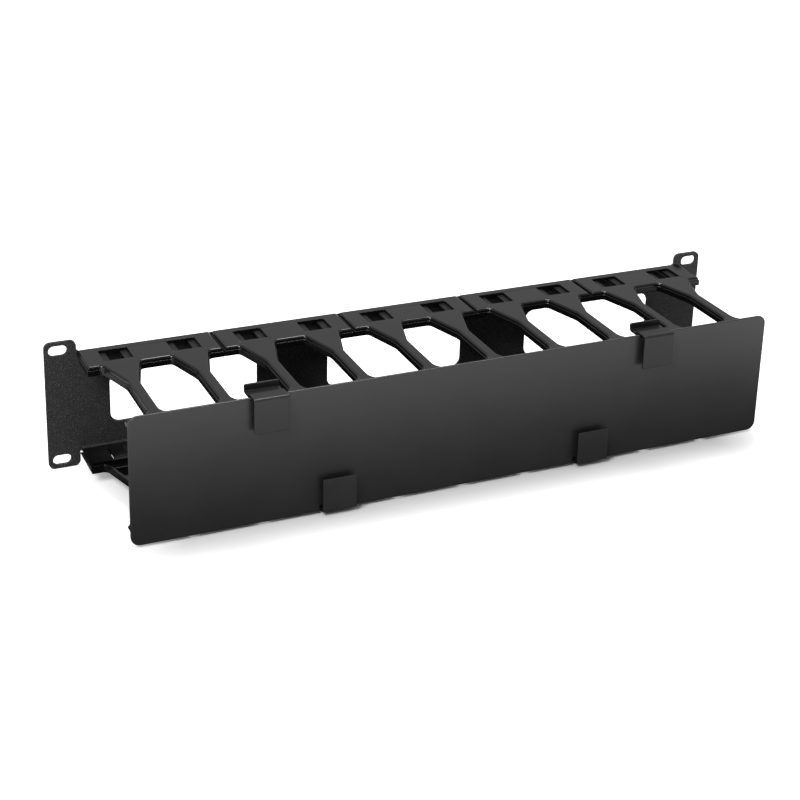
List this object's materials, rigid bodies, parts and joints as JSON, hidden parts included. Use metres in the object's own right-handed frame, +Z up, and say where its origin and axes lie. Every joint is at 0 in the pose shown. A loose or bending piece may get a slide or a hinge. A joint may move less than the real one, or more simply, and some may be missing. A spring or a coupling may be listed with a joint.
{
  "type": "horizontal cable manager",
  "caption": "Rack-width panel with two rows of T-ended plastic fingers that form a cable trough, closed in front by a flat hinged cover on snap latches.",
  "frame": {"origin": "middle of the plane of the ears' back faces, midway between the four mounting slots", "axes": "+X to the right seen from the front, +Y into the rack, +Z up"},
  "size_m": [0.4826, 0.123, 0.0896],
  "materials": {
    "textured_steel": "fine textured black powder coat",
    "moulded_black": "semi-gloss moulded black",
    "cover_plastic": "smooth satin black"
  },
  "bodies": {
    "frame": {"rear_panel": "textured_steel", "top_finger_module_1": "moulded_black", "top_finger_module_2": "moulded_black", "top_finger_module_3": "moulded_black", "top_finger_module_4": "moulded_black", "top_finger_module_5": "moulded_black", "bottom_finger_module_1": "moulded_black", "bottom_finger_module_2": "moulded_black", "bottom_finger_module_3": "moulded_black", "bottom_finger_module_4": "moulded_black", "bottom_finger_module_5": "moulded_black"},
    "cover": {"cover": "cover_plastic"},
    "top_latch_left": {"top_latch_left": "moulded_black"},
    "top_latch_right": {"top_latch_right": "moulded_black"},
    "bottom_latch_left": {"bottom_latch_left": "moulded_black"},
    "bottom_latch_right": {"bottom_latch_right": "moulded_black"}
  },
  "joints": [
    {"name": "cover_hinge", "type": "hinge", "parent": "frame", "child": "cover", "pos_m": [0, -0.11155, -0.0336], "axis": [1, 0, 0], "range_deg": [0, 90]},
    {"name": "top_latch_left_press", "type": "hinge", "parent": "cover", "child": "top_latch_left", "pos_m": [-0.13335, -0.1168, 0.04055], "axis": [1, 0, 0], "range_deg": [0, 8], "stiffness_Nm_per_rad": 0.3, "springref_deg": -2.86},
    {"name": "bottom_latch_left_press", "type": "hinge", "parent": "cover", "child": "bottom_latch_left", "pos_m": [-0.0889, -0.1168, -0.03805], "axis": [-1, 0, 0], "range_deg": [0, 8], "stiffness_Nm_per_rad": 0.3, "springref_deg": -2.86},
    {"name": "top_latch_right_press", "type": "hinge", "parent": "cover", "child": "top_latch_right", "pos_m": [0.13335, -0.1168, 0.04055], "axis": [1, 0, 0], "range_deg": [0, 8], "stiffness_Nm_per_rad": 0.3, "springref_deg": -2.86},
    {"name": "bottom_latch_right_press", "type": "hinge", "parent": "cover", "child": "bottom_latch_right", "pos_m": [0.0889, -0.1168, -0.03805], "axis": [-1, 0, 0], "range_deg": [0, 8], "stiffness_Nm_per_rad": 0.3, "springref_deg": -2.86}
  ]
}
